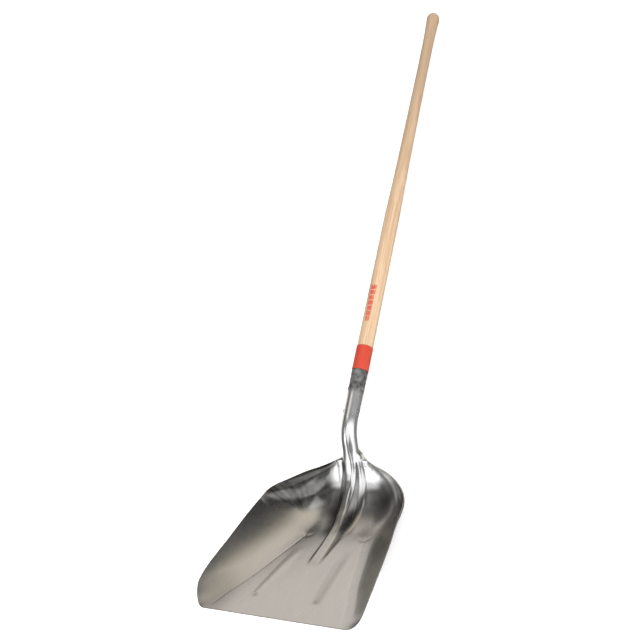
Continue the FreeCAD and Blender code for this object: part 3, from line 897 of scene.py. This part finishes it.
def studio_piece(name, points, faces, material):
    """A part of the studio, which the metal doesn't mirror."""
    mesh = bpy.data.meshes.new(name)
    mesh.from_pydata(points, [], faces)
    mesh.materials.append(material)
    piece = bpy.data.objects.new(name, mesh)
    piece.visible_glossy = False
    bpy.context.scene.collection.objects.link(piece)
    return piece


def make_floor():
    """A plain square floor."""
    half = 30.0
    corners = [(x * half, y * half, FLOOR_LEVEL) for x, y in ((-1, -1), (1, -1), (1, 1), (-1, 1))]
    floor = studio_piece("floor", corners, [(0, 1, 2, 3)], floor_paint())


def make_backdrop():
    """A plain round wall far behind the tool, which lights nothing and casts no shadow."""
    radius, height, count = 14.0, 9.0, 96
    ring = []
    for z in (FLOOR_LEVEL, height):
        for i in range(count):
            turn = 2.0 * math.pi * i / count
            ring.append((radius * math.cos(turn), radius * math.sin(turn), z))
    faces = grid_faces(2, count, closed=True)
    wall = studio_piece("backdrop", ring, faces, backdrop_paint())
    wall.visible_diffuse = False
    wall.visible_shadow = False


def make_light(name, kind, azimuth, elevation, power):
    """A light in this direction from the scoop, in degrees, which the metal doesn't mirror."""
    scoop = Vector((0.0, -0.55, 0.08))
    distance = 3.0
    a, e = math.radians(azimuth), math.radians(elevation)
    away = Vector((math.cos(e) * math.cos(a), math.cos(e) * math.sin(a), math.sin(e)))
    data = bpy.data.lights.new(name, kind)
    data.energy = power
    light = bpy.data.objects.new(name, data)
    light.visible_glossy = False
    turn = away.to_track_quat("Z", "Y").to_matrix().to_4x4()
    light.matrix_world = Matrix.Translation(scoop + away * distance) @ turn
    bpy.context.scene.collection.objects.link(light)
    return data


def make_lights():
    """An even light from a broad part of the sky, and one large soft panel."""
    sky = make_light("soft_sky", "SUN", -25.0, 60.0, 4.2)
    sky.angle = math.radians(60.0)
    key = make_light("key", "AREA", -15.0, 42.0, 20.0)
    key.size = 3.0


# Soft lights and dark flags around the studio, by direction in degrees, with azimuth 0 along
# +X and 90 along +Y: middle and half size of the azimuth, the same of the elevation, softness,
# and colour. A later one covers the earlier ones.
STUDIO = [
    ((-60.0, 76.0), (77.0, 14.0), 8.0, (1.0, 1.0, 1.0)),
    ((118.0, 26.0), (70.0, 12.0), 8.0, (1.0, 1.0, 1.0)),
    ((-48.0, 26.0), (56.0, 10.0), 8.0, (1.0, 1.0, 1.0)),
    ((-163.0, 6.0), (53.0, 8.0), 6.0, (0.9, 0.9, 0.92)),
    ((90.0, 35.0), (30.0, 26.0), 11.0, (0.76, 0.70, 0.60)),
    ((127.0, 46.0), (-10.0, 24.0), 8.0, (0.84, 0.79, 0.745)),
    ((156.0, 24.0), (29.0, 16.0), 9.0, (0.09, 0.086, 0.084)),
    ((25.0, 15.0), (-2.0, 20.0), 10.0, (0.09, 0.086, 0.082)),
    ((-138.0, 17.0), (44.0, 14.0), 9.0, (1.4, 1.4, 1.4)),
    ((-6.0, 18.0), (22.0, 42.0), 8.0, (1.1, 1.1, 1.12)),
    ((-8.0, 12.0), (-32.0, 20.0), 9.0, (1.0, 1.0, 1.0)),
]
STUDIO_GREY = (0.20, 0.20, 0.195)


def make_world():
    """A grey studio with its soft lights and dark flags, as seen in reflections."""
    world = bpy.data.worlds.new("studio")
    world.use_nodes = True
    n = Nodes.over(world.node_tree)
    direction = n.add("ShaderNodeTexCoord").outputs["Generated"]
    x, y, z = n.add("ShaderNodeSeparateXYZ", {"Vector": direction}).outputs
    azimuth = n.math("ARCTAN2", y, x)
    elevation = n.math("ARCSINE", z)
    clutter = n.noise(direction, 5.0, 3.0, 0.6)
    dark, pale = (tuple(share * value for value in STUDIO_GREY) for share in (0.6, 1.5))
    colour = n.mix(n.smooth(clutter, 0.35, 0.65), dark, pale)
    for (a, a_half), (e, e_half), soft, shade in STUDIO:
        a, a_half, e, e_half, soft = (math.radians(v) for v in (a, a_half, e, e_half, soft))
        off = n.math("ARCCOSINE", n.math("COSINE", n.math("SUBTRACT", azimuth, a)))
        sideways = n.smooth(off, a_half + soft, a_half - soft)
        off = n.math("ABSOLUTE", n.math("SUBTRACT", elevation, e))
        upright = n.smooth(off, e_half + soft, e_half - soft)
        colour = n.mix(n.math("MULTIPLY", sideways, upright), colour, shade)
    n.put(world.node_tree.nodes["Background"].inputs["Color"], colour)
    bpy.context.scene.world = world


# ---------------------------------------------------------------- the scene
bpy.context.scene.view_settings.view_transform = "Standard"
make_camera()
make_world()
make_floor()
make_backdrop()
make_lights()

make_blade(aluminium())
make_handle(ash())
make_band(red_plastic())
steel = rivet_steel()
for node in ("upper_rivet", "lower_rivet", "rivet_washers"):
    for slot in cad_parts[node].material_slots:
        slot.material = steel
